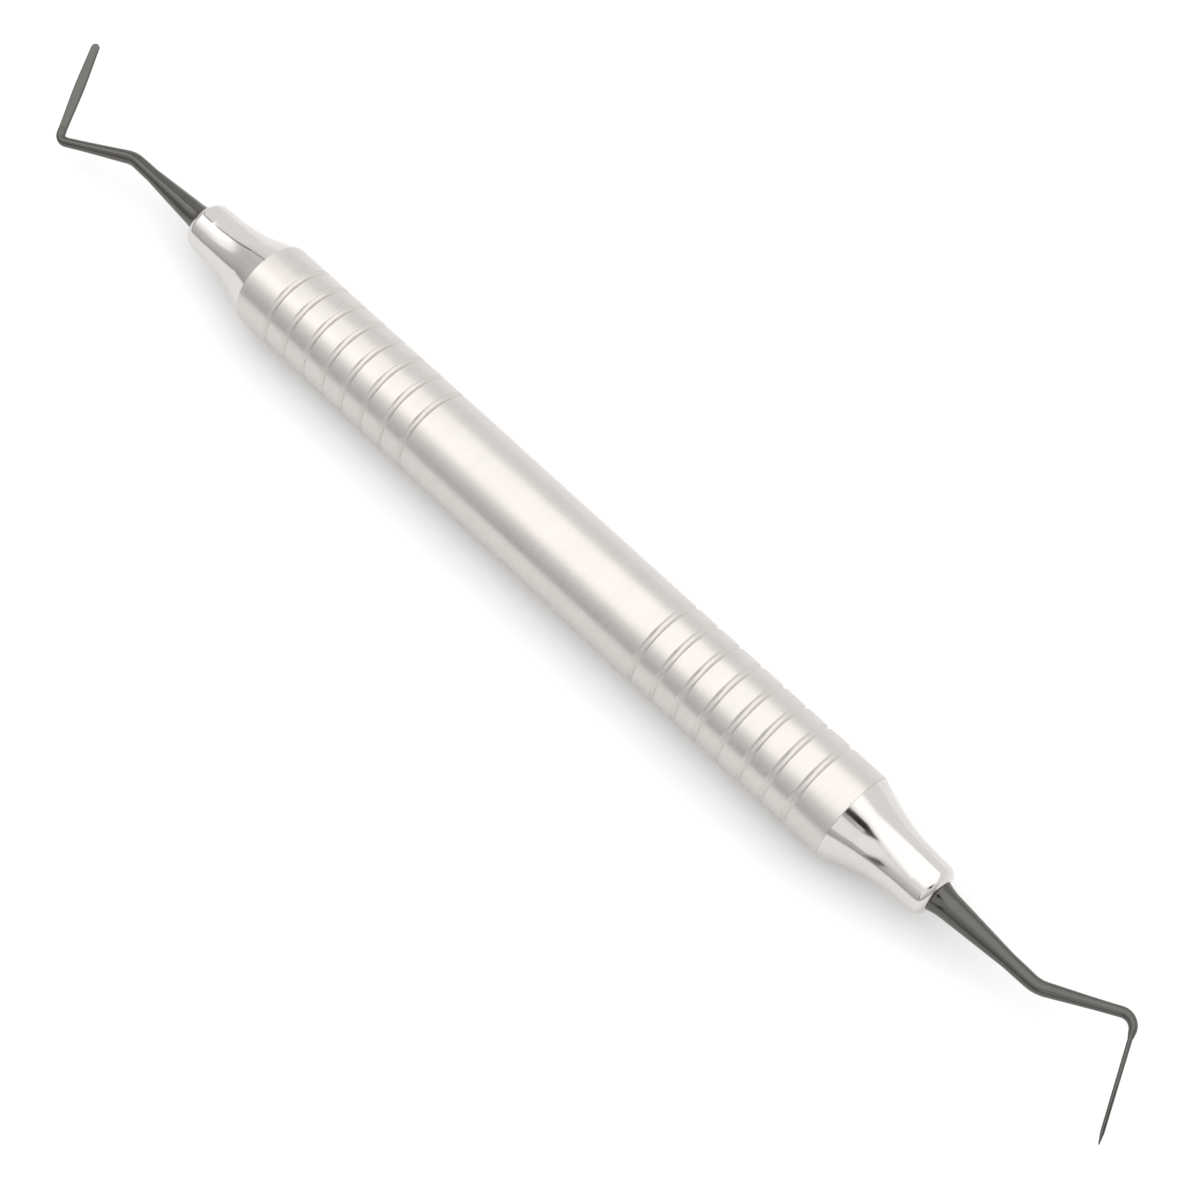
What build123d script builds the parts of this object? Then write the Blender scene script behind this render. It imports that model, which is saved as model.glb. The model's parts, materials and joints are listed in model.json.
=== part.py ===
"""A double-ended dental hand instrument: a hollow ringed grip, two turned necks and two bent working ends.

Row frame, in millimetres: +X along the grip towards end B, +Z up. The origin is under the middle of the grip,
on the surface that the grip lies on.
"""

from build123d import *
from math import cos, radians, sin
import os

# Grip: a hollow satin tube with ring grooves towards each end
GRIP_DIAMETER = 10.0
GRIP_LENGTH = 85.2
GRIP_WALL = 1.0
GRIP_EDGE = 0.03
GROOVES_PER_END = 8
GROOVE_PITCH = 3.0
GROOVE_WIDTH = 0.76
GROOVE_DEPTH = 0.18
GROOVE_LIP = 0.16
PLAIN_BAND = 34.1  # between the centres of the two innermost grooves

# Neck: a polished cone that runs into a nearly straight nose
NECK_LENGTH = 11.15
NECK_SHOULDER_RADIUS = 4.97
NECK_EDGE = 0.03
CONE_LENGTH = 2.4
CONE_END_RADIUS = 4.11
CONE_ANGLE = 19.94
SWEEP_END = 8.7  # from the shoulder, where the concave stretch has become the nose
SWEEP_END_RADIUS = 2.99
NOSE_RADIUS = 2.91
NOSE_ROUND = 1.0
SPIGOT_LENGTH = 7.0
SPIGOT_CHAMFER = 0.5
SEAL_GROOVE_START = 2.6  # from the shoulder, into the grip
SEAL_GROOVE_WIDTH = 1.2
SEAL_GROOVE_DEPTH = 0.6
SEAL_WIDTH = 1.0

# Working end: root, shank, two bends and a flat blade, all one forging
ROOT_DIAMETER = 3.5
ROOT_LENGTH = 14.0
ROOT_CHAMFER = 0.4
FLARE_LENGTH = 1.7
FLARE_END_DIAMETER = 2.80
SHANK_LENGTH = 9.0  # straight length beyond the nose
SHANK_END_DIAMETER = 1.66
ARM_DIAMETER = 1.12  # at the second bend
FIRST_BEND_RADIUS = 3.6
# Corners of the centre line: beyond the nose face, and off the axis. The two ends differ a little
FIRST_BEND = {"a": (12.05, 0), "b": (12.5, 0)}
SECOND_BEND = {"a": (20.8, 4.25), "b": (20.9, 4.25)}
SECOND_BEND_RADIUS = {"a": 0.95, "b": 1.4}
BLADE_TIP = {"a": (25.65, -6.65), "b": (26.1, -6.85)}
BLADE_NECK_WIDTH = 1.04
BLADE_WIDTH = 1.32
BLADE_TIP_WIDTH = 1.04
BLADE_OVAL_THICKNESS = 0.78  # of the drawn bar, before its flats are ground
BLADE_THICKNESS = 0.48
BLADE_TIP_THICKNESS = 0.42
OVAL_RUN = 0.8
FLAT_START = 0.8  # past the second bend
FLAT_RUN_OUT = 1.2
FLAT_CLEARANCE = 0.02
BEVEL_LENGTH = 1.2
BEVEL_TIP_THICKNESS = 0.12

# The plane of the bends leans this far from the horizontal about the grip's axis
BEND_PLANE_LEAN = 18.5

GRIP_RADIUS = GRIP_DIAMETER / 2
BORE_RADIUS = GRIP_RADIUS - GRIP_WALL
SHOULDER = GRIP_LENGTH / 2
NOSE = SHOULDER + NECK_LENGTH


def turned(profile):
    """Revolve a closed profile, drawn as x along the axis and y as the radius, about the X axis."""
    return revolve(profile, axis=Axis.X, revolution_arc=360)


def grip_tube():
    """The hollow grip, with its ring grooves cut in the section before it is revolved."""
    section = Pos(0, (GRIP_RADIUS + BORE_RADIUS) / 2) * Rectangle(GRIP_LENGTH, GRIP_WALL)
    rims = [v for v in section.vertices() if v.Y > GRIP_RADIUS - GRIP_WALL / 2]
    section = fillet(rims, GRIP_EDGE)
    groove_radius = ((GROOVE_WIDTH / 2) ** 2 + GROOVE_DEPTH**2) / (2 * GROOVE_DEPTH)
    centre = GRIP_RADIUS - GROOVE_DEPTH + groove_radius
    for side in (-1, 1):
        for number in range(GROOVES_PER_END):
            x = side * (PLAIN_BAND / 2 + number * GROOVE_PITCH)
            section -= Pos(x, centre) * Circle(groove_radius)
    reach = SHOULDER - GRIP_EDGE - GROOVE_WIDTH
    lips = [v for v in section.vertices() if v.Y > GRIP_RADIUS - 0.01 and abs(v.X) < reach]
    section = fillet(lips, GROOVE_LIP)
    return turned(section)


def neck_outline():
    """The neck's outer outline from the shoulder to the nose face, as x from the shoulder and radius."""
    cone = Line((NECK_EDGE, NECK_SHOULDER_RADIUS), (CONE_LENGTH, CONE_END_RADIUS))
    lean = (cos(radians(CONE_ANGLE)), -sin(radians(CONE_ANGLE)))
    sweep_arc = TangentArc((CONE_LENGTH, CONE_END_RADIUS), (SWEEP_END, SWEEP_END_RADIUS), tangent=lean)
    nose = Line((SWEEP_END, SWEEP_END_RADIUS), (NECK_LENGTH - NOSE_ROUND, NOSE_RADIUS))
    rim = RadiusArc(
        (NECK_LENGTH - NOSE_ROUND, NOSE_RADIUS), (NECK_LENGTH, NOSE_RADIUS - NOSE_ROUND), NOSE_ROUND
    )
    return [cone, sweep_arc, nose, rim]


def neck():
    """One neck, pointing along +X with its shoulder at the origin: the cone outside, the spigot behind."""
    seal_start = -SEAL_GROOVE_START
    seal_end = seal_start - SEAL_GROOVE_WIDTH
    seal_floor = BORE_RADIUS - SEAL_GROOVE_DEPTH
    root_radius = ROOT_DIAMETER / 2
    root_end = NECK_LENGTH - ROOT_LENGTH
    behind = Polyline(
        (NECK_LENGTH, NOSE_RADIUS - NOSE_ROUND),
        (NECK_LENGTH, root_radius),
        (root_end, root_radius),
        (root_end, 0),
        (-SPIGOT_LENGTH, 0),
        (-SPIGOT_LENGTH, BORE_RADIUS - SPIGOT_CHAMFER),
        (-SPIGOT_LENGTH + SPIGOT_CHAMFER, BORE_RADIUS),
        (seal_end, BORE_RADIUS),
        (seal_end, seal_floor),
        (seal_start, seal_floor),
        (seal_start, BORE_RADIUS),
        (0, BORE_RADIUS),
        (0, NECK_SHOULDER_RADIUS - NECK_EDGE),
        (NECK_EDGE, NECK_SHOULDER_RADIUS),
    )
    return turned(make_face([*neck_outline(), behind]))


def seal_ring():
    """The ring in the spigot's groove, in the neck's own frame."""
    middle = -(SEAL_GROOVE_START + SEAL_GROOVE_WIDTH / 2)
    section = Pos(middle, BORE_RADIUS - SEAL_GROOVE_DEPTH / 2) * Rectangle(SEAL_WIDTH, SEAL_GROOVE_DEPTH)
    return turned(section)


def shank():
    """Root and straight shank, with the nose face at the origin and the shank along +X."""
    root = ROOT_DIAMETER / 2
    flare_end = FLARE_END_DIAMETER / 2
    end = SHANK_END_DIAMETER / 2
    taper = (end - flare_end) / (SHANK_LENGTH - FLARE_LENGTH)
    flare = TangentArc((FLARE_LENGTH, flare_end), (0, root), tangent=(-1, -taper))
    rest = Polyline(
        (0, root),
        (ROOT_CHAMFER - ROOT_LENGTH, root),
        (-ROOT_LENGTH, root - ROOT_CHAMFER),
        (-ROOT_LENGTH, 0),
        (SHANK_LENGTH, 0),
        (SHANK_LENGTH, end),
        (FLARE_LENGTH, flare_end),
    )
    return turned(make_face([flare, rest]))


def smooth_step(value, start, end):
    """0 before start, 1 after end, and an even blend between."""
    share = min(max((value - start) / (end - start), 0.0), 1.0)
    return share * share * (3 - 2 * share)


def mix(first, last, share):
    return first + (last - first) * share


class BentLine:
    """The centre line from the straight shank's end, round both bends, to the blade's tip.

    It lies in the XY plane: x beyond the nose face, y in the direction of the first bend.
    """

    def __init__(self, letter):
        corners = [(SHANK_LENGTH, 0), FIRST_BEND[letter], SECOND_BEND[letter], BLADE_TIP[letter]]
        self.wire = FilletPolyline(*corners, radius=[FIRST_BEND_RADIUS, SECOND_BEND_RADIUS[letter]])
        lengths = [edge.length for edge in self.wire.edges().sort_by(self.wire)]
        self.first_arc = (lengths[0], sum(lengths[:2]))
        self.second_arc = (sum(lengths[:3]), sum(lengths[:4]))
        self.length = sum(lengths)

    def stations(self):
        """Distances along the line where the section is stated: close in the bends, wide on the straights."""
        marks = [0.0, self.first_arc[0] / 2]
        marks += [mix(*self.first_arc, share / 4) for share in range(5)]
        marks += [mix(self.first_arc[1], self.second_arc[0], share / 3) for share in (1, 2)]
        marks += [mix(*self.second_arc, share / 6) for share in range(7)]
        marks += [mix(self.second_arc[1], self.length, share / 6) for share in range(1, 7)]
        return marks

    def point(self, distance):
        return self.wire @ (distance / self.length)

    def direction(self, distance):
        return self.wire % (distance / self.length)


def across(direction, in_bend_plane):
    """The direction of the blade's width: in the plane of the bends, or square to it."""
    return direction.cross(Vector(0, 0, 1)) if in_bend_plane else Vector(0, 0, 1)


def paddle_width(share):
    """The blade's width: narrow where it leaves the bend, widest halfway, narrower again at the tip."""
    if share < 0.5:
        return mix(BLADE_NECK_WIDTH, BLADE_WIDTH, smooth_step(share, 0, 0.5))
    return mix(BLADE_WIDTH, BLADE_TIP_WIDTH, smooth_step(share, 0.5, 1))


def oval_bar(line, in_bend_plane):
    """The drawn bar before grinding: round at the shank, thinner along the arm, oval along the blade."""
    sections = []
    for distance in line.stations():
        taper = smooth_step(distance, 0, line.second_arc[0])
        diameter = mix(SHANK_END_DIAMETER, ARM_DIAMETER, taper)
        oval = smooth_step(distance, line.second_arc[0], line.second_arc[1] + OVAL_RUN)
        along_blade = max(distance - line.second_arc[1], 0) / (line.length - line.second_arc[1])
        width = mix(diameter, paddle_width(along_blade), oval)
        thickness = mix(diameter, BLADE_OVAL_THICKNESS, oval)
        direction = line.direction(distance)
        plane = Plane(line.point(distance), x_dir=across(direction, in_bend_plane), z_dir=direction)
        sections.append(plane * Ellipse(width / 2, thickness / 2))
    return sweep(sections, path=line.wire, multisection=True)


def ground_flats(line, in_bend_plane):
    """What grinding takes off: both flats of the blade, with a run-out at the bend and a bevel at the tip."""
    blade_length = line.length - line.second_arc[1]
    reach = 2 * BLADE_WIDTH
    side = Polyline(
        (reach, BEVEL_TIP_THICKNESS / 2),
        (0, BEVEL_TIP_THICKNESS / 2),
        (-BEVEL_LENGTH, BLADE_TIP_THICKNESS / 2),
        (FLAT_START - blade_length, BLADE_THICKNESS / 2),
        (FLAT_START - FLAT_RUN_OUT - blade_length, ARM_DIAMETER / 2 + FLAT_CLEARANCE),
        (FLAT_START - FLAT_RUN_OUT - blade_length, reach),
        (reach, reach),
        close=True,
    )
    direction = line.direction(line.length)
    width_direction = across(direction, in_bend_plane)
    plane = Plane(line.point(line.length), x_dir=direction, z_dir=width_direction)
    flat = make_face(side)
    return [extrude(plane * face, amount=reach, both=True) for face in (flat, mirror(flat, Plane.XZ))]


def tip_corners(line, in_bend_plane):
    """What rounding the blade's end takes off its two corners."""
    radius = BLADE_TIP_WIDTH / 2
    reach = BLADE_WIDTH
    direction = line.direction(line.length)
    centre = line.point(line.length) - direction * radius
    plane = Plane(centre, x_dir=direction, z_dir=direction.cross(across(direction, in_bend_plane)))
    corners = Pos(reach, 0) * Rectangle(2 * reach, 2 * reach) - Circle(radius)
    return extrude(plane * corners, amount=reach, both=True)


def working_end(letter):
    """Root, shank, arm and blade in one solid, with the nose face at the origin.

    End A's blade is wide in the plane of the bends, and end B's is turned a quarter from it.
    """
    line = BentLine(letter)
    in_bend_plane = letter == "a"
    blade = oval_bar(line, in_bend_plane)
    for removed in (*ground_flats(line, in_bend_plane), tip_corners(line, in_bend_plane)):
        blade -= removed
    return shank() + blade


def main():
    os.makedirs("parts", exist_ok=True)
    on_axis = Pos(0, 0, GRIP_RADIUS)
    end_b = on_axis * Rot(X=BEND_PLANE_LEAN)
    end_a = end_b * Rot(Z=180)
    solids = {"grip_tube": on_axis * grip_tube()}
    for letter, place in (("a", end_a), ("b", end_b)):
        at_shoulder = place * Pos(SHOULDER, 0, 0)
        at_nose = place * Pos(NOSE, 0, 0)
        solids[f"neck_cone_{letter}"] = at_shoulder * neck()
        solids[f"neck_seal_ring_{letter}"] = at_shoulder * seal_ring()
        solids[f"working_end_{letter}"] = at_nose * working_end(letter)
    for name, solid in solids.items():
        export_step(solid, f"parts/{name}.step")
        print(name, round(solid.volume, 1), "mm3", solid.bounding_box().size)


main()
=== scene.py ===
"""The looks of a double-ended dental hand instrument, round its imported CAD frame. Lengths are in metres."""

import json
import math

import bmesh
import bpy
from mathutils import Matrix, Vector


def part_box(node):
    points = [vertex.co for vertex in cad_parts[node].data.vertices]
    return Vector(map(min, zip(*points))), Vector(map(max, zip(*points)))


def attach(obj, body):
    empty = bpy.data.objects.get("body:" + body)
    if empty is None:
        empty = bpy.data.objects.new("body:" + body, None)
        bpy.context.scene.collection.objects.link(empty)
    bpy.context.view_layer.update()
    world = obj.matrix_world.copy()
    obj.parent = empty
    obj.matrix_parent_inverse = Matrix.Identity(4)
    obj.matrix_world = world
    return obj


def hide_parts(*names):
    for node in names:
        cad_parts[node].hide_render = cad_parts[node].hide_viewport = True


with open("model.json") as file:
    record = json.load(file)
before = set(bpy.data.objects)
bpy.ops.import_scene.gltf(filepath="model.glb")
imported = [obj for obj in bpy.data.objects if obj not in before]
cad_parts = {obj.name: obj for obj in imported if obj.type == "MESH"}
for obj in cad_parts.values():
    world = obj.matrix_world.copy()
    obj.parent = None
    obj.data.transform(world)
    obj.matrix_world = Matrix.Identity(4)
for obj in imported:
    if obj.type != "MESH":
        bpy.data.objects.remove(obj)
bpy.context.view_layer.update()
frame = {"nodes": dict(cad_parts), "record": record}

MM = 0.001

# Places read from the frame: the grip's axis, its outer radius, and where the grip and the necks end
GRIP_MOUNT = frame["record"]["mounts"][0]
GRIP_RADIUS = GRIP_MOUNT["dims"]["r_mm"] * MM
AXIS_HEIGHT = GRIP_MOUNT["pos_m"][2]
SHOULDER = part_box("grip_tube")[1].x
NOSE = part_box("neck_cone_b")[1].x

# Grip: the CAD model's own sizes
GRIP_WALL = 1.0 * MM
GRIP_EDGE = 0.03 * MM
GROOVES_PER_END = 8
GROOVE_PITCH = 3.0 * MM
GROOVE_WIDTH = 0.76 * MM
GROOVE_DEPTH = 0.18 * MM
GROOVE_LIP = 0.16 * MM
PLAIN_BAND = 34.1 * MM
BORE_RADIUS = GRIP_RADIUS - GRIP_WALL

# Neck: x runs from the shoulder to the nose face
NECK_LENGTH = NOSE - SHOULDER
NECK_SHOULDER_RADIUS = 4.97 * MM
NECK_EDGE = 0.03 * MM
CONE_END = (2.4 * MM, 4.11 * MM)
CONE_ANGLE = math.radians(19.94)
SWEEP_END = (8.7 * MM, 2.99 * MM)
NOSE_RADIUS = 2.91 * MM
NOSE_ROUND = 1.0 * MM
SPIGOT_LENGTH = 7.0 * MM
SPIGOT_CHAMFER = 0.5 * MM
SEAL_GROOVE_START = 2.6 * MM
SEAL_GROOVE_WIDTH = 1.2 * MM
SEAL_GROOVE_DEPTH = 0.6 * MM

# Working end: x runs outwards from the nose face, y towards the first bend
ROOT_RADIUS = 1.75 * MM
ROOT_LENGTH = 14.0 * MM
ROOT_CHAMFER = 0.4 * MM
FLARE_LENGTH = 1.7 * MM
FLARE_END_RADIUS = 1.40 * MM
SHANK_LENGTH = 9.0 * MM
SHANK_END_RADIUS = 0.83 * MM
ARM_RADIUS = 0.56 * MM
FIRST_BEND = {"a": Vector((12.05, 0)) * MM, "b": Vector((12.5, 0)) * MM}
FIRST_BEND_RADIUS = 3.6 * MM
SECOND_BEND = {"a": Vector((20.8, 4.25)) * MM, "b": Vector((20.9, 4.25)) * MM}
SECOND_BEND_RADIUS = {"a": 0.95 * MM, "b": 1.4 * MM}
BLADE_TIP = {"a": Vector((25.65, -6.65)) * MM, "b": Vector((26.1, -6.85)) * MM}
BLADE_NECK_WIDTH = 1.04 * MM
BLADE_WIDTH = 1.32 * MM
BLADE_TIP_WIDTH = 1.04 * MM
BLADE_OVAL_THICKNESS = 0.78 * MM
BLADE_THICKNESS = 0.48 * MM
BLADE_TIP_THICKNESS = 0.42 * MM
OVAL_RUN = 0.8 * MM
FLAT_START = 0.8 * MM
FLAT_RUN_OUT = 1.2 * MM
BEVEL_LENGTH = 1.2 * MM
BEVEL_TIP_THICKNESS = 0.12 * MM
EDGE_CRISPNESS = 9  # how tightly the ground flats meet the blade's rounded sides
BEND_PLANE_LEAN = math.radians(18.5)

# Mesh resolution
GRIP_SEGMENTS = 176
NECK_SEGMENTS = 176
END_SEGMENTS = 64
EDGE_STEPS = 6
LIP_STEPS = 5
GROOVE_STEPS = 14
SWEEP_STEPS = 28
NOSE_STEPS = 12
FLARE_STEPS = 10
TIP_STEPS = 12
SUPPORT = 0.03 * MM  # distance of the holding loops from the ends of a straight run
SHORTEST_HELD_RUN = 6 * SUPPORT
CREASE = math.radians(38)

# Camera: where it stands relative to the grip, and its lens and sensor, which Blender takes in millimetres
CAMERA_AZIMUTH = math.radians(45.58)
CAMERA_ELEVATION = math.radians(64.4)
CAMERA_DISTANCE = 240.3 * MM
CAMERA_AIM_ALONG_GRIP = 8.86 * MM
CAMERA_AIM_ACROSS = -1.05 * MM
CAMERA_LENS = 71.4
SENSOR_WIDTH = 36.0
CAMERA_CLIP_START = 0.01

# Studio: radiances are relative to a floor that photographs as white. Places over the object are slopes,
# sideways run over height, towards the picture's right and top
FLOOR_COLOUR = (0.93, 0.93, 0.928, 1)
FLOOR_REACH = 1.5
ROOF = {
    "height": 0.60,
    "across": (-1.10, 1.25),
    "upwards": (-0.68, 1.30),
    "fade": 0.45,
    "radiance": (1.0, 1.72),
}
WINDOW = {
    "height": 0.50,
    "across": (-2.10, -0.35),
    "upwards": (-0.15, 1.35),
    "fade": 0.6,
    "radiance": (0.0, 0.5),
}
# Radiance of the room by degrees above the horizon
ROOM_RADIANCE = [(0, 0.40), (5, 0.55), (14, 0.68), (26, 0.78), (38, 1.00), (50, 1.18)]
FAR_WALL_RADIANCE = 1.06  # on the +Y side, where a bright wall closes the room
FAR_WALL_FULL = 0.5  # Y of the direction from which that wall is at full strength
# Cards that are seen only in reflections, each placed over one neck's shoulder
CARDS = [
    {
        "name": "camera_body",
        "neck": "b",
        "height": 0.30,
        "radiance": 0.02,
        "slopes": [(0.06, -0.47), (0.60, -0.45), (0.60, -0.95), (0.14, -0.72), (0.0, -0.97)],
    },
    {
        "name": "camera_stand",
        "neck": "b",
        "height": 0.08,
        "radiance": 0.15,
        "slopes": [(-1.05, -1.75), (-1.25, -1.70), (-5.2, -7.0), (-4.0, -7.4)],
    },
    {
        "name": "light_coat",
        "neck": "b",
        "height": 0.28,
        "radiance": 1.2,
        "slopes": [
            (-0.02, -0.97),
            (-0.02, -0.72),
            (-0.23, -0.60),
            (-0.70, -1.15),
            (-1.6, -3.1),
            (-0.9, -3.3),
        ],
    },
    {
        "name": "window_frame",
        "neck": "a",
        "height": 0.45,
        "radiance": 0.15,
        "slopes": [(-0.40, 0.56), (-0.48, 0.54), (-1.46, 2.52), (-1.32, 2.58)],
    },
    {
        "name": "far_ceiling",
        "neck": "a",
        "height": 0.46,
        "radiance": 1.05,
        "slopes": [(-0.41, 0.57), (-1.34, 2.52), (0.30, 2.52), (-0.05, 0.80)],
    },
]


# Profiles and revolved pieces

def arc(centre, radius, start, end, steps):
    """Points round a circle from one angle to another, both ends included, as (x, radius) pairs."""
    x, height = centre
    turn = (end - start) / steps
    angles = [start + turn * i for i in range(steps + 1)]
    return [(x + radius * math.cos(angle), height + radius * math.sin(angle)) for angle in angles]


def tangent_arc(start, lean, end, steps):
    """An arc that leaves start falling at the angle lean and reaches end, as (x, radius) pairs."""
    first, last = Vector(start), Vector(end)
    normal = Vector((math.sin(lean), math.cos(lean)))
    chord = last - first
    radius = chord.length_squared / (2 * chord.dot(normal))
    centre = first + normal * radius
    from_angle = math.atan2(first.y - centre.y, first.x - centre.x)
    to_angle = math.atan2(last.y - centre.y, last.x - centre.x)
    return arc(centre, abs(radius), from_angle, to_angle, steps)


def groove(middle):
    """One ring groove, from the lip at lower x to the other: a shallow arc between two rounded lips."""
    radius = ((GROOVE_WIDTH / 2) ** 2 + GROOVE_DEPTH ** 2) / (2 * GROOVE_DEPTH)
    floor_centre = (middle, GRIP_RADIUS - GROOVE_DEPTH + radius)
    lip_height = GRIP_RADIUS - GROOVE_LIP
    rise = floor_centre[1] - lip_height
    offset = math.sqrt((radius + GROOVE_LIP) ** 2 - rise ** 2)
    meeting = math.atan2(rise, offset)
    left_lip = arc((middle - offset, lip_height), GROOVE_LIP, math.pi / 2, meeting, LIP_STEPS)
    bottom = arc(floor_centre, radius, math.pi + meeting, 2 * math.pi - meeting, GROOVE_STEPS)
    right_lip = arc((middle + offset, lip_height), GROOVE_LIP, math.pi - meeting, math.pi / 2, LIP_STEPS)
    return left_lip + bottom[1:-1] + right_lip


def grip_profile():
    """The grip's closed section, as (x, radius) pairs."""
    first = PLAIN_BAND / 2
    offsets = [first + number * GROOVE_PITCH for number in range(GROOVES_PER_END)]
    places = [side * offset for side in (-1, 1) for offset in offsets]
    rim_height = GRIP_RADIUS - GRIP_EDGE
    left_rim = arc((GRIP_EDGE - SHOULDER, rim_height), GRIP_EDGE, math.pi, math.pi / 2, EDGE_STEPS)
    right_rim = arc((SHOULDER - GRIP_EDGE, rim_height), GRIP_EDGE, math.pi / 2, 0, EDGE_STEPS)
    outside = [point for place in sorted(places) for point in groove(place)]
    bore = [(SHOULDER, BORE_RADIUS), (-SHOULDER, BORE_RADIUS)]
    return left_rim + outside + right_rim + bore


def neck_profile():
    """The neck's section, x from the shoulder, out along the cone and back through the spigot."""
    seal_start = -SEAL_GROOVE_START
    seal_end = seal_start - SEAL_GROOVE_WIDTH
    seal_floor = BORE_RADIUS - SEAL_GROOVE_DEPTH
    root_end = NECK_LENGTH - ROOT_LENGTH
    rim_centre = (NECK_LENGTH - NOSE_ROUND, NOSE_RADIUS - NOSE_ROUND)
    edge_centre = (NECK_EDGE, NECK_SHOULDER_RADIUS - NECK_EDGE)
    shoulder_edge = arc(edge_centre, NECK_EDGE, math.pi, math.pi / 2 - CONE_ANGLE, EDGE_STEPS)
    sweep = tangent_arc(CONE_END, CONE_ANGLE, SWEEP_END, SWEEP_STEPS)
    rim = arc(rim_centre, NOSE_ROUND, math.pi / 2, 0, NOSE_STEPS)
    behind = [
        (NECK_LENGTH, ROOT_RADIUS),
        (root_end, ROOT_RADIUS),
        (root_end, 0),
        (-SPIGOT_LENGTH, 0),
        (-SPIGOT_LENGTH, BORE_RADIUS - SPIGOT_CHAMFER),
        (-SPIGOT_LENGTH + SPIGOT_CHAMFER, BORE_RADIUS),
        (seal_end, BORE_RADIUS),
        (seal_end, seal_floor),
        (seal_start, seal_floor),
        (seal_start, BORE_RADIUS),
        (0, BORE_RADIUS),
    ]
    return shoulder_edge + sweep + rim + behind


def with_support(profile):
    """The closed profile with holding loops near both ends of each straight run, so that it shades flat."""
    held = []
    for here, there in zip(profile, profile[1:] + profile[:1]):
        start, end = Vector(here), Vector(there)
        held.append(here)
        on_axis = start.y == 0 and end.y == 0
        if not on_axis and (end - start).length > SHORTEST_HELD_RUN:
            step = (end - start).normalized() * SUPPORT
            held += [tuple(start + step), tuple(end - step)]
    return held


def ring(mesh, x, radius, segments):
    """A ring of vertices round the X axis, or the one vertex on the axis where the radius is 0."""
    if radius == 0:
        return [mesh.verts.new((x, 0, 0))] * segments
    angles = [2 * math.pi * i / segments for i in range(segments)]
    return [mesh.verts.new((x, radius * math.cos(a), radius * math.sin(a))) for a in angles]


def bridge(mesh, first, second):
    """Faces between two rings, where either may be a single vertex."""
    count = len(first)
    for i in range(count):
        corners = [first[i], second[i], second[(i + 1) % count], first[(i + 1) % count]]
        distinct = list(dict.fromkeys(corners))
        if len(distinct) > 2:
            mesh.faces.new(distinct)


def revolved(profile, segments):
    """A closed mesh of the profile turned round the X axis."""
    mesh = bmesh.new()
    rings = [ring(mesh, x, radius, segments) for x, radius in with_support(profile)]
    for first, second in zip(rings, rings[1:] + rings[:1]):
        if first[0] is first[1] and second[0] is second[1]:
            continue
        bridge(mesh, first, second)
    return mesh


# The bent working ends

def smooth_step(value, start, end):
    """0 before start, 1 after end, and an even blend between."""
    share = min(max((value - start) / (end - start), 0.0), 1.0)
    return share * share * (3 - 2 * share)


def mix(first, last, share):
    return first + (last - first) * share


class BentLine:
    """The centre line of a working end, straight through the neck, round both bends and along the blade.

    Distances along it start at the nose face, so the root's end is at -ROOT_LENGTH.
    """

    def __init__(self, letter):
        corners = [Vector((-ROOT_LENGTH, 0)), FIRST_BEND[letter], SECOND_BEND[letter], BLADE_TIP[letter]]
        radii = [FIRST_BEND_RADIUS, SECOND_BEND_RADIUS[letter]]
        self.parts = []
        self.distance = -ROOT_LENGTH
        place = corners[0]
        for before, corner, after, radius in zip(corners, corners[1:], corners[2:], radii):
            into, out_of = (corner - before).normalized(), (after - corner).normalized()
            turn = into.angle_signed(out_of)
            cut = radius * math.tan(abs(turn) / 2)
            self.add_part(place, into, (corner - into * cut - place).length, 0)
            self.add_part(corner - into * cut, into, radius * abs(turn), -math.copysign(1 / radius, turn))
            place = corner + out_of * cut
        self.add_part(place, (corners[-1] - place).normalized(), (corners[-1] - place).length, 0)
        arc_start, arc_end = self.parts[-2][0], self.parts[-1][0]
        self.second_arc = arc_start, arc_end
        self.length = self.distance

    def add_part(self, place, direction, length, curvature):
        """Keep one straight run or arc: where it starts, its direction there and how it curves."""
        self.parts.append((self.distance, place, direction, curvature))
        self.distance += length

    def at(self, distance):
        """The point on the line and the line's direction there."""
        start, place, direction, curvature = [part for part in self.parts if part[0] <= distance][-1]
        run = distance - start
        side = Vector((-direction.y, direction.x))
        if curvature == 0:
            return place + direction * run, direction
        angle = run * curvature
        point = place + (direction * math.sin(angle) + side * (1 - math.cos(angle))) / curvature
        return point, direction * math.cos(angle) + side * math.sin(angle)


def shank_radius(x):
    """Radius of the turned stretch: root, flare at the nose face, then an even taper."""
    if x < 0:
        return ROOT_RADIUS - max(0.0, ROOT_CHAMFER - (x + ROOT_LENGTH))
    taper = (SHANK_END_RADIUS - FLARE_END_RADIUS) / (SHANK_LENGTH - FLARE_LENGTH)
    straight = FLARE_END_RADIUS + taper * (x - FLARE_LENGTH)
    flare = max(0.0, 1 - x / FLARE_LENGTH) ** 2
    return straight + (ROOT_RADIUS - FLARE_END_RADIUS + taper * FLARE_LENGTH) * flare


def paddle_width(share):
    """The blade's width: narrow where it leaves the bend, widest halfway, narrower again at the tip."""
    halfway = 0.5
    if share < halfway:
        return mix(BLADE_NECK_WIDTH, BLADE_WIDTH, smooth_step(share, 0, halfway))
    return mix(BLADE_WIDTH, BLADE_TIP_WIDTH, smooth_step(share, halfway, 1))


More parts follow.
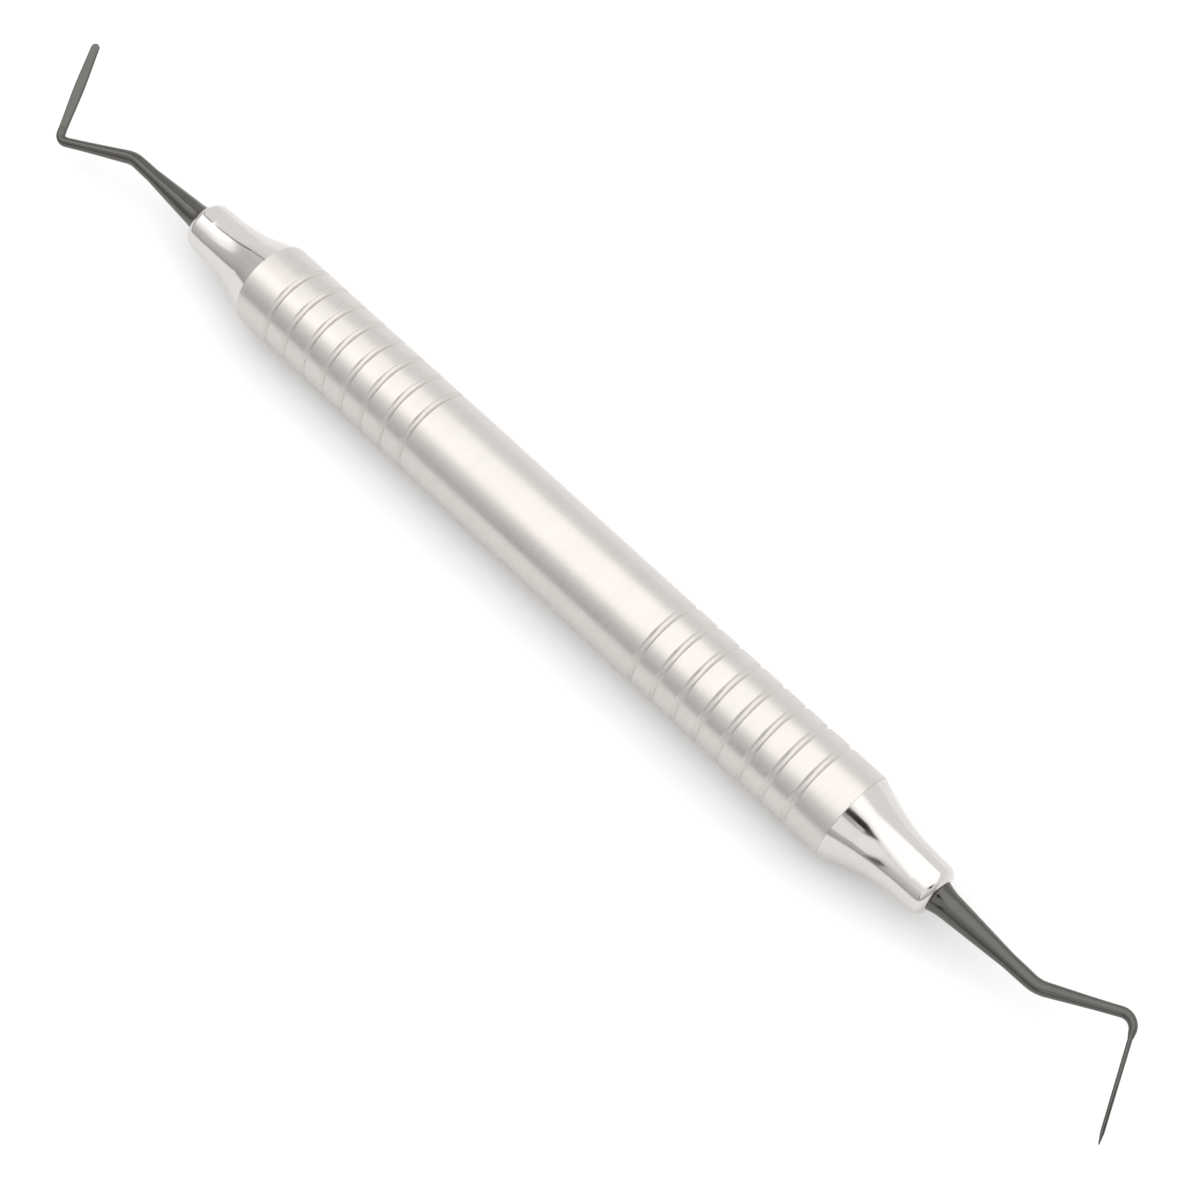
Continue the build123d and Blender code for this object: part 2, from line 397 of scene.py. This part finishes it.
def flat_spacing(line, distance):
    """The distance between the two ground flats."""
    past_bend = distance - line.second_arc[1]
    to_tip = line.length - distance
    if to_tip < BEVEL_LENGTH:
        return mix(BEVEL_TIP_THICKNESS, BLADE_TIP_THICKNESS, to_tip / BEVEL_LENGTH)
    if past_bend < FLAT_START:
        run_out = (FLAT_START - past_bend) / FLAT_RUN_OUT
        return mix(BLADE_THICKNESS, 2 * ARM_RADIUS, run_out)
    flat_length = line.length - BEVEL_LENGTH - line.second_arc[1] - FLAT_START
    return mix(BLADE_THICKNESS, BLADE_TIP_THICKNESS, (past_bend - FLAT_START) / flat_length)


def bar_size(line, distance):
    """Half width and half thickness of the bar at a distance, before its flats are ground."""
    if distance < SHANK_LENGTH:
        return shank_radius(distance), shank_radius(distance)
    arm = mix(SHANK_END_RADIUS, ARM_RADIUS, smooth_step(distance, SHANK_LENGTH, line.second_arc[0]))
    oval = smooth_step(distance, line.second_arc[0], line.second_arc[1] + OVAL_RUN)
    along_blade = max(distance - line.second_arc[1], 0) / (line.length - line.second_arc[1])
    half_width = mix(arm, paddle_width(along_blade) / 2, oval)
    into_tip = max(0.0, 1 - (line.length - distance) / (BLADE_TIP_WIDTH / 2))
    return half_width * math.sqrt(1 - into_tip ** 2), mix(arm, BLADE_OVAL_THICKNESS / 2, oval)


def ground(height, spacing):
    """A height off the blade's middle plane, held back by the ground flat."""
    return height / (1 + abs(2 * height / spacing) ** EDGE_CRISPNESS) ** (1 / EDGE_CRISPNESS)


def bar_stations(line):
    """Distances along the line where the mesh has a ring, closest together round the tip."""
    arc_start, arc_end = line.second_arc
    tip_radius = BLADE_TIP_WIDTH / 2
    tip_start = line.length - tip_radius
    bevel_start = line.length - BEVEL_LENGTH
    past_run_out = arc_end + 2 * FLAT_RUN_OUT
    stations = [-ROOT_LENGTH, ROOT_CHAMFER - ROOT_LENGTH, -SUPPORT]
    stations += [FLARE_LENGTH * i / FLARE_STEPS for i in range(FLARE_STEPS)]
    # Where each stretch starts and ends, and its number of rings
    stretches = [
        (FLARE_LENGTH, SHANK_LENGTH, 10),
        (SHANK_LENGTH, arc_start, 40),
        (arc_start, arc_end, 16),
        (arc_end, past_run_out, 16),
        (past_run_out, bevel_start, 16),
        (bevel_start, tip_start, 4),
    ]
    for start, end, steps in stretches:
        stations += [mix(start, end, i / steps) for i in range(steps)]
    quarter_turn = math.pi / 2
    for i in range(TIP_STEPS):
        stations.append(line.length - tip_radius * (1 - math.sin(quarter_turn * i / TIP_STEPS)))
    return stations


def working_end_mesh(letter):
    """Root, shank, arm and blade as one closed mesh, with the nose face at x = 0."""
    line = BentLine(letter)
    blade_in_bend_plane = letter == "a"
    mesh = bmesh.new()
    rings = []
    for distance in bar_stations(line):
        point, direction = line.at(distance)
        centre, along = point.to_3d(), direction.to_3d()
        upright = Vector((0, 0, 1))
        across = along.cross(upright) if blade_in_bend_plane else upright
        through = along.cross(across)
        half_width, half_thickness = bar_size(line, distance)
        on_blade = distance > line.second_arc[0]
        corners = []
        for i in range(END_SEGMENTS):
            angle = 2 * math.pi * i / END_SEGMENTS
            height = half_thickness * math.sin(angle)
            if on_blade:
                height = ground(height, flat_spacing(line, distance))
            place = centre + across * (half_width * math.cos(angle)) + through * height
            corners.append(mesh.verts.new(place))
        rings.append(corners)
    for first, second in zip(rings, rings[1:]):
        bridge(mesh, first, second)
    mesh.faces.new(rings[0])
    mesh.faces.new(rings[-1])
    return mesh


# Turning meshes into pieces

def side_matrix(letter):
    """From an end's own frame, whose x starts at the middle of the grip, to the row frame."""
    lean = Matrix.Translation((0, 0, AXIS_HEIGHT)) @ Matrix.Rotation(BEND_PLANE_LEAN, 4, "X")
    return lean @ Matrix.Rotation(math.pi, 4, "Z") if letter == "a" else lean


def add_piece(name, mesh, place, node, material):
    """Finish a mesh as a smooth-shaded piece that stands for one CAD node."""
    bmesh.ops.transform(mesh, matrix=place, verts=mesh.verts)
    bmesh.ops.recalc_face_normals(mesh, faces=mesh.faces)
    data = bpy.data.meshes.new(name)
    mesh.to_mesh(data)
    mesh.free()
    data.shade_smooth()
    data.set_sharp_from_angle(angle=CREASE)
    data.materials.append(material)
    piece = bpy.data.objects.new(name, data)
    bpy.context.scene.collection.objects.link(piece)
    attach(piece, "root")
    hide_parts(node)
    return piece


# Materials

class Surface:
    """A metal surface's node tree, with short ways to add its procedural patterns."""

    def __init__(self, name, metallic):
        self.material = bpy.data.materials.new(name)
        self.material.use_nodes = True
        self.nodes = self.material.node_tree.nodes
        self.links = self.material.node_tree.links
        self.shader = self.nodes["Principled BSDF"]
        self.shader.inputs["Metallic"].default_value = metallic
        self.coordinates = self.nodes.new("ShaderNodeTexCoord").outputs["Object"]

    def noise(self, along, around, detail=3.0, roughness=0.55):
        """Noise with its own number of features per millimetre along the grip's axis and around it."""
        mapping = self.nodes.new("ShaderNodeMapping")
        mapping.inputs["Scale"].default_value = (along / MM, around / MM, around / MM)
        self.links.new(self.coordinates, mapping.inputs["Vector"])
        texture = self.nodes.new("ShaderNodeTexNoise")
        texture.inputs["Scale"].default_value = 1.0
        texture.inputs["Detail"].default_value = detail
        texture.inputs["Roughness"].default_value = roughness
        self.links.new(mapping.outputs["Vector"], texture.inputs["Vector"])
        return texture.outputs["Fac"]

    def ramp(self, value, low, high, start=0.3, end=0.7):
        """A value from low to high as the input goes from start to end."""
        node = self.nodes.new("ShaderNodeMapRange")
        node.inputs["From Min"].default_value = start
        node.inputs["From Max"].default_value = end
        node.inputs["To Min"].default_value = low
        node.inputs["To Max"].default_value = high
        self.links.new(value, node.inputs["Value"])
        return node.outputs["Result"]

    def calculate(self, operation, first, second):
        """A math node on two sockets, where the second may be a number."""
        node = self.nodes.new("ShaderNodeMath")
        node.operation = operation
        self.links.new(first, node.inputs[0])
        if isinstance(second, (int, float)):
            node.inputs[1].default_value = second
        else:
            self.links.new(second, node.inputs[1])
        return node.outputs["Value"]

    def blend(self, share, first, second):
        """A colour between two, by a 0 to 1 socket."""
        node = self.nodes.new("ShaderNodeMix")
        node.data_type = "RGBA"
        colours = [socket for socket in node.inputs if socket.type == "RGBA"]
        colours[0].default_value = (*first, 1)
        if isinstance(second, tuple):
            colours[1].default_value = (*second, 1)
        else:
            self.links.new(second, colours[1])
        self.links.new(share, node.inputs["Factor"])
        return [socket for socket in node.outputs if socket.type == "RGBA"][0]

    def bump(self, heights):
        """Chain bumps, given as (height socket, depth in metres)."""
        normal = None
        for height, depth in heights:
            node = self.nodes.new("ShaderNodeBump")
            node.inputs["Distance"].default_value = depth
            self.links.new(height, node.inputs["Height"])
            if normal is not None:
                self.links.new(normal, node.inputs["Normal"])
            normal = node.outputs["Normal"]
        self.links.new(normal, self.shader.inputs["Normal"])

    def use(self, colour, roughness):
        self.links.new(colour, self.shader.inputs["Base Color"])
        self.links.new(roughness, self.shader.inputs["Roughness"])

    def radius_from_axis(self):
        """Distance from the grip's axis, in metres."""
        split = self.nodes.new("ShaderNodeSeparateXYZ")
        self.links.new(self.coordinates, split.inputs["Vector"])
        height = self.calculate("SUBTRACT", split.outputs["Z"], AXIS_HEIGHT)
        squares = self.calculate("MULTIPLY", height, height)
        width = self.calculate("MULTIPLY", split.outputs["Y"], split.outputs["Y"])
        return self.calculate("SQRT", self.calculate("ADD", squares, width), 0)


def satin_steel():
    """The grip: fine turning marks under cloudy handling marks, and rougher groove floors."""
    surface = Surface("satin_steel", 1.0)
    turning = surface.noise(9.0, 0.12)
    passes = surface.noise(0.9, 0.03, detail=2.0)
    clouds = surface.noise(0.11, 0.16, detail=4.0)
    in_groove = surface.ramp(surface.radius_from_axis(), 0.10, 0.0, GRIP_RADIUS - GROOVE_DEPTH, GRIP_RADIUS)
    finish = surface.calculate("ADD", surface.ramp(clouds, 0.27, 0.34), surface.ramp(turning, -0.03, 0.04))
    surface.use(
        surface.blend(passes, (0.570, 0.537, 0.511), (0.605, 0.570, 0.543)),
        surface.calculate("ADD", finish, in_groove),
    )
    surface.bump([(turning, 0.0022 * MM), (passes, 0.0012 * MM)])
    return surface.material


def polished_steel():
    """The necks: a mirror finish over faint turning marks, with a thin film of handling."""
    surface = Surface("polished_steel", 1.0)
    turning = surface.noise(7.0, 0.1)
    film = surface.noise(0.35, 0.4, detail=4.0)
    colour = surface.blend(film, (0.60, 0.570, 0.548), (0.66, 0.632, 0.610))
    surface.use(colour, surface.ramp(film, 0.09, 0.15))
    surface.bump([(turning, 0.0005 * MM)])
    return surface.material


def dark_coating():
    """Shanks and blades: a thin dark hard coating over ground steel, slightly uneven in tone."""
    surface = Surface("dark_coating", 1.0)
    grinding = surface.noise(6.0, 1.1)
    tone = surface.noise(0.5, 0.5, detail=4.0)
    colour = surface.blend(tone, (0.094, 0.091, 0.084), (0.124, 0.120, 0.110))
    finish = surface.calculate("ADD", surface.ramp(tone, 0.13, 0.20), surface.ramp(grinding, -0.02, 0.04))
    surface.use(colour, finish)
    surface.bump([(grinding, 0.0018 * MM)])
    return surface.material


def filler_metal():
    """The hidden rings: dull, slightly mottled brazing alloy."""
    surface = Surface("filler_metal", 1.0)
    mottle = surface.noise(1.6, 1.6, detail=5.0)
    colour = surface.blend(mottle, (0.50, 0.42, 0.26), (0.66, 0.58, 0.40))
    surface.use(colour, surface.ramp(mottle, 0.35, 0.55))
    surface.bump([(mottle, 0.01 * MM)])
    return surface.material


def build_instrument():
    """The five visible pieces, and the material of the two hidden rings, which keep their CAD meshes."""
    satin, polished, dark, filler = satin_steel(), polished_steel(), dark_coating(), filler_metal()
    on_axis = Matrix.Translation((0, 0, AXIS_HEIGHT))
    grip = revolved(grip_profile(), GRIP_SEGMENTS)
    add_piece("ringed_grip", grip, on_axis, "grip_tube", satin)
    for letter in ("a", "b"):
        at_shoulder = side_matrix(letter) @ Matrix.Translation((SHOULDER, 0, 0))
        neck = revolved(neck_profile(), NECK_SEGMENTS)
        node = f"neck_cone_{letter}"
        add_piece(f"polished_neck_{letter}", neck, at_shoulder, node, polished)
        at_nose = side_matrix(letter) @ Matrix.Translation((NOSE, 0, 0))
        node = f"working_end_{letter}"
        add_piece(f"coated_end_{letter}", working_end_mesh(letter), at_nose, node, dark)
        hidden_ring = frame["nodes"][f"neck_seal_ring_{letter}"]
        hidden_ring.data.materials.clear()
        hidden_ring.data.materials.append(filler)


# Studio

def camera_axes():
    """Unit vectors from the object to the camera, to the picture's right and to its top."""
    level = math.cos(CAMERA_ELEVATION)
    back = Vector((
        math.sin(CAMERA_AZIMUTH) * level,
        -math.cos(CAMERA_AZIMUTH) * level,
        math.sin(CAMERA_ELEVATION),
    ))
    right = Vector((math.cos(CAMERA_AZIMUTH), math.sin(CAMERA_AZIMUTH), 0))
    return back, right, back.cross(right)


def add_camera():
    back, right, up = camera_axes()
    across = Vector((1, 0, 0)).cross(back).normalized()
    aim = Vector((CAMERA_AIM_ALONG_GRIP, 0, AXIS_HEIGHT)) - across * CAMERA_AIM_ACROSS
    camera = bpy.data.objects.new("camera", bpy.data.cameras.new("camera"))
    camera.data.lens = CAMERA_LENS
    camera.data.sensor_width = SENSOR_WIDTH
    camera.data.clip_start = CAMERA_CLIP_START
    rotation = Matrix((right, up, back)).transposed().to_4x4()
    camera.matrix_world = Matrix.Translation(aim + back * CAMERA_DISTANCE) @ rotation
    bpy.context.scene.collection.objects.link(camera)
    bpy.context.scene.camera = camera


def stage_plane(name, corners, material):
    """A flat staged surface with these corners."""
    data = bpy.data.meshes.new(name)
    data.from_pydata(corners, [], [tuple(range(len(corners)))])
    data.materials.append(material)
    plane = bpy.data.objects.new(name, data)
    bpy.context.scene.collection.objects.link(plane)
    return plane


def pale_floor():
    material = bpy.data.materials.new("pale_floor")
    material.use_nodes = True
    shader = material.node_tree.nodes["Principled BSDF"]
    shader.inputs["Base Color"].default_value = FLOOR_COLOUR
    shader.inputs["Roughness"].default_value = 0.9
    shader.inputs["Specular IOR Level"].default_value = 0.1
    signs = [(-1, -1), (1, -1), (1, 1), (-1, 1)]
    stage_plane("floor", [(x * FLOOR_REACH, y * FLOOR_REACH, 0) for x, y in signs], material)


def glow_material(name, strength):
    """A material that only gives off light, and its emission node."""
    material = bpy.data.materials.new(name)
    material.use_nodes = True
    nodes, links = material.node_tree.nodes, material.node_tree.links
    nodes.clear()
    glow = nodes.new("ShaderNodeEmission")
    glow.inputs["Strength"].default_value = strength
    output = nodes.new("ShaderNodeOutputMaterial")
    links.new(glow.outputs["Emission"], output.inputs["Surface"])
    return material, glow


def overhead(across, upwards, height):
    """A point over the object, from its slopes towards the picture's right and top."""
    azimuth_right = Vector((math.cos(CAMERA_AZIMUTH), math.sin(CAMERA_AZIMUTH), 0))
    azimuth_top = Vector((-math.sin(CAMERA_AZIMUTH), math.cos(CAMERA_AZIMUTH), 0))
    return (azimuth_right * across + azimuth_top * upwards + Vector((0, 0, 1))) * height


def add_soft_light(name, height, across, upwards, fade, radiance, see_through=False):
    """A level sheet of light, aligned with the picture and fading to the first radiance at its rim."""
    material, glow = glow_material(name, radiance[1])
    nodes, links = material.node_tree.nodes, material.node_tree.links
    split = nodes.new("ShaderNodeSeparateXYZ")
    links.new(nodes.new("ShaderNodeTexCoord").outputs["Object"], split.inputs["Vector"])
    fades = []
    for axis, (low, high) in (("X", across), ("Y", upwards)):
        for edge, inner in ((low, low + fade), (high, high - fade)):
            step = nodes.new("ShaderNodeMapRange")
            step.interpolation_type = "SMOOTHSTEP"
            step.inputs["From Min"].default_value = edge * height
            step.inputs["From Max"].default_value = inner * height
            links.new(split.outputs[axis], step.inputs["Value"])
            fades.append(step.outputs["Result"])
    product = fades[0]
    for share in fades[1:]:
        node = nodes.new("ShaderNodeMath")
        node.operation = "MULTIPLY"
        links.new(product, node.inputs[0])
        links.new(share, node.inputs[1])
        product = node.outputs["Value"]
    strength = nodes.new("ShaderNodeMapRange")
    strength.inputs["To Min"].default_value = radiance[0]
    strength.inputs["To Max"].default_value = radiance[1]
    links.new(product, strength.inputs["Value"])
    links.new(strength.outputs["Result"], glow.inputs["Strength"])
    if see_through:
        both = nodes.new("ShaderNodeAddShader")
        links.new(glow.outputs["Emission"], both.inputs[0])
        links.new(nodes.new("ShaderNodeBsdfTransparent").outputs["BSDF"], both.inputs[1])
        links.new(both.outputs["Shader"], nodes["Material Output"].inputs["Surface"])
    left, right = (limit * height for limit in across)
    near, far = (limit * height for limit in upwards)
    corners = [(left, near, 0), (left, far, 0), (right, far, 0), (right, near, 0)]
    sheet = stage_plane(name, corners, material)
    sheet.matrix_world = Matrix.Translation((0, 0, height)) @ Matrix.Rotation(CAMERA_AZIMUTH, 4, "Z")
    sheet.visible_camera = False
    return sheet


def only_in_reflections(piece):
    piece.visible_camera = False
    piece.visible_diffuse = False
    piece.visible_shadow = False


def add_card(name, neck, height, radiance, slopes):
    """A flat card between the roof and one neck's shoulder."""
    side = {"a": -1, "b": 1}[neck]
    shoulder = Vector((side * SHOULDER, 0, AXIS_HEIGHT))
    material, _ = glow_material(name, radiance)
    corners = [overhead(across, upwards, height) + shoulder for across, upwards in slopes]
    only_in_reflections(stage_plane(name, corners, material))


def add_room():
    """The room round the table: brighter with elevation, with one bright wall, and white to the camera."""
    world = bpy.data.worlds.new("room")
    world.use_nodes = True
    bpy.context.scene.world = world
    nodes, links = world.node_tree.nodes, world.node_tree.links
    room = nodes["Background"]
    split = nodes.new("ShaderNodeSeparateXYZ")
    links.new(nodes.new("ShaderNodeTexCoord").outputs["Generated"], split.inputs["Vector"])
    top_radiance = ROOM_RADIANCE[-1][1]
    rise = nodes.new("ShaderNodeValToRGB")
    stops = rise.color_ramp.elements
    while len(stops) < len(ROOM_RADIANCE):
        stops.new(0.5)
    for stop, (elevation, radiance) in zip(stops, ROOM_RADIANCE):
        share = radiance / top_radiance
        stop.position = math.sin(math.radians(elevation))
        stop.color = (share, share, share, 1)
    links.new(split.outputs["Z"], rise.inputs["Fac"])
    wall = nodes.new("ShaderNodeMapRange")
    wall.interpolation_type = "SMOOTHSTEP"
    wall.inputs["From Min"].default_value = 0.0
    wall.inputs["From Max"].default_value = FAR_WALL_FULL
    links.new(split.outputs["Y"], wall.inputs["Value"])
    tone = nodes.new("ShaderNodeMix")
    tone.data_type = "RGBA"
    colours = [socket for socket in tone.inputs if socket.type == "RGBA"]
    share = FAR_WALL_RADIANCE / top_radiance
    colours[1].default_value = (share, share, share, 1)
    links.new(wall.outputs["Result"], tone.inputs["Factor"])
    links.new(rise.outputs["Color"], colours[0])
    links.new([socket for socket in tone.outputs if socket.type == "RGBA"][0], room.inputs["Color"])
    room.inputs["Strength"].default_value = top_radiance
    backdrop = nodes.new("ShaderNodeBackground")
    backdrop.inputs["Color"].default_value = (1, 1, 1, 1)
    choice = nodes.new("ShaderNodeMixShader")
    links.new(nodes.new("ShaderNodeLightPath").outputs["Is Camera Ray"], choice.inputs["Fac"])
    links.new(room.outputs["Background"], choice.inputs[1])
    links.new(backdrop.outputs["Background"], choice.inputs[2])
    links.new(choice.outputs["Shader"], nodes["World Output"].inputs["Surface"])


def add_reflected_things():
    """What the polished metal mirrors besides the roof: a camera and its holder, a window and its frame."""
    for card in CARDS:
        add_card(**card)
    only_in_reflections(add_soft_light("window", see_through=True, **WINDOW))


build_instrument()
add_camera()
pale_floor()
add_soft_light("roof", **ROOF)
add_room()
add_reflected_things()
bpy.context.scene.view_settings.view_transform = "Standard"
